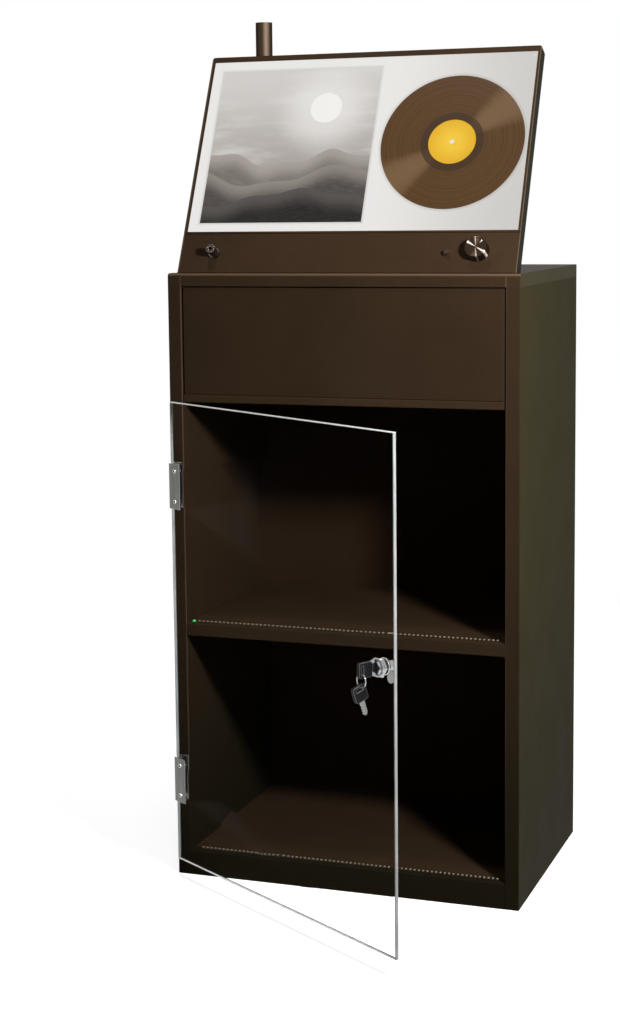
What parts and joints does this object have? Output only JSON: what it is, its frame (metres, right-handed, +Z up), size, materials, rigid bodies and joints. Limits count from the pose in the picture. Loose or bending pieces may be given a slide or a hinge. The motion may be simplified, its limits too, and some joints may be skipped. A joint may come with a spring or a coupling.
{
  "type": "record cabinet",
  "caption": "Painted record cabinet with a locking glass door on side hinges, lit shelves, a sloping display head with volume knob, button and headphone socket, and a mast.",
  "frame": {"origin": "centre of the cabinet body's footprint, on the floor it stands on", "axes": "+X to the right seen from the front, front faces -Y, +Z up"},
  "size_m": [0.56, 0.7415, 1.371],
  "materials": {
    "brown_board": "satin dark brown paint on board",
    "back_board": "matt dark brown",
    "plain_wood": "bare",
    "zinc_steel": "satin",
    "grey_rubber": "soft",
    "clear_glass": "clear with polished edges",
    "bright_chrome": "polished",
    "key_brass": "satin",
    "key_steel": "satin",
    "black_plastic": "moulded",
    "brown_sheet": "satin dark brown powder coat",
    "dark_panel": "gloss",
    "spun_aluminium": "spun, dark brown anodised",
    "bare_metal": "plain",
    "light_strip": "white",
    "green_lamp": "clear green",
    "circuit_board": "lacquered",
    "dark_button": "gloss"
  },
  "bodies": {
    "cabinet": {"audio_board": "circuit_board", "back_panel": "back_board", "back_panel_screws": "zinc_steel", "backlight_tray": "black_plastic", "base_light_strip": "light_strip", "bay_floor": "brown_board", "bracket_screws": "zinc_steel", "button_bush": "bright_chrome", "carcass_dowels": "plain_wood", "control_panel": "brown_sheet", "display_bezel": "brown_sheet", "display_brackets": "brown_sheet", "display_housing": "brown_sheet", "floor_board": "brown_board", "header_cleats": "plain_wood", "header_panel": "brown_board", "header_screws": "zinc_steel", "headphone_socket": "black_plastic", "hinge_frame_screws": "zinc_steel", "hinge_pins": "zinc_steel", "left_side_board": "brown_board", "lower_hinge_frame_leaf": "zinc_steel", "mast_cap": "black_plastic", "mast_post": "brown_sheet", "mast_screws": "zinc_steel", "middle_shelf": "brown_board", "pilot_lamp": "green_lamp", "plinth_frame": "brown_board", "potentiometer": "bare_metal", "power_inlet": "black_plastic", "power_supply": "bare_metal", "right_side_board": "brown_board", "screen_glass": "clear_glass", "screen_panel": "dark_panel", "screen_standoffs": "zinc_steel", "shelf_light_strip": "light_strip", "socket_nut": "bright_chrome", "strike_plate": "zinc_steel", "strike_screws": "zinc_steel", "top_board": "brown_board", "upper_hinge_frame_leaf": "zinc_steel"},
    "door": {"door_glass": "clear_glass", "upper_hinge_door_leaf": "zinc_steel", "lower_hinge_door_leaf": "zinc_steel", "hinge_glass_pads": "grey_rubber", "hinge_glass_bolts": "zinc_steel", "lock_body": "bright_chrome", "lock_bezel": "bright_chrome", "lock_nut": "bright_chrome"},
    "lock_core": {"lock_plug": "key_brass", "lock_cam": "bright_chrome", "cam_screw": "bright_chrome"},
    "door_key": {"key_blade": "key_steel", "key_head": "black_plastic"},
    "ring": {"key_ring": "bright_chrome"},
    "spare_key": {"spare_key_blade": "key_steel", "spare_key_head": "black_plastic"},
    "knob": {"volume_knob": "spun_aluminium", "volume_shaft": "key_steel"},
    "button": {"push_button": "dark_button"}
  },
  "joints": [
    {"name": "door_swing", "type": "hinge", "parent": "cabinet", "child": "door", "pos_m": [-0.274, -0.203, 0.3973], "axis": [0, 0, -1], "range_deg": [-33.5, 86.5]},
    {"name": "lock_turn", "type": "hinge", "parent": "door", "child": "lock_core", "pos_m": [0.16095, -0.49089, 0.439], "axis": [-0.5519, -0.8339, 0], "range_deg": [0, 90]},
    {"name": "key_slide", "type": "slide", "parent": "lock_core", "child": "door_key", "axis": [-0.5519, -0.8339, 0], "range_m": [0, 0.018]},
    {"name": "ring_swing", "type": "hinge", "parent": "door_key", "child": "ring", "pos_m": [0.1375, -0.52633, 0.43423], "axis": [0.8339, -0.5519, 0], "range_deg": [-15, 15]},
    {"name": "spare_key_swing", "type": "hinge", "parent": "ring", "child": "spare_key", "pos_m": [0.1375, -0.52633, 0.41503], "axis": [0.8339, -0.5519, 0], "range_deg": [-25, 20]},
    {"name": "volume_turn", "type": "hinge", "parent": "cabinet", "child": "knob", "pos_m": [0.208, -0.16712, 0.99716], "axis": [0, 0.9003, -0.4352], "range_deg": [0, 300]},
    {"name": "button_press", "type": "slide", "parent": "cabinet", "child": "button", "axis": [0, 0.9003, -0.4352], "range_m": [0, 0.002], "stiffness_N_per_m": 700, "springref_m": -0.001}
  ]
}
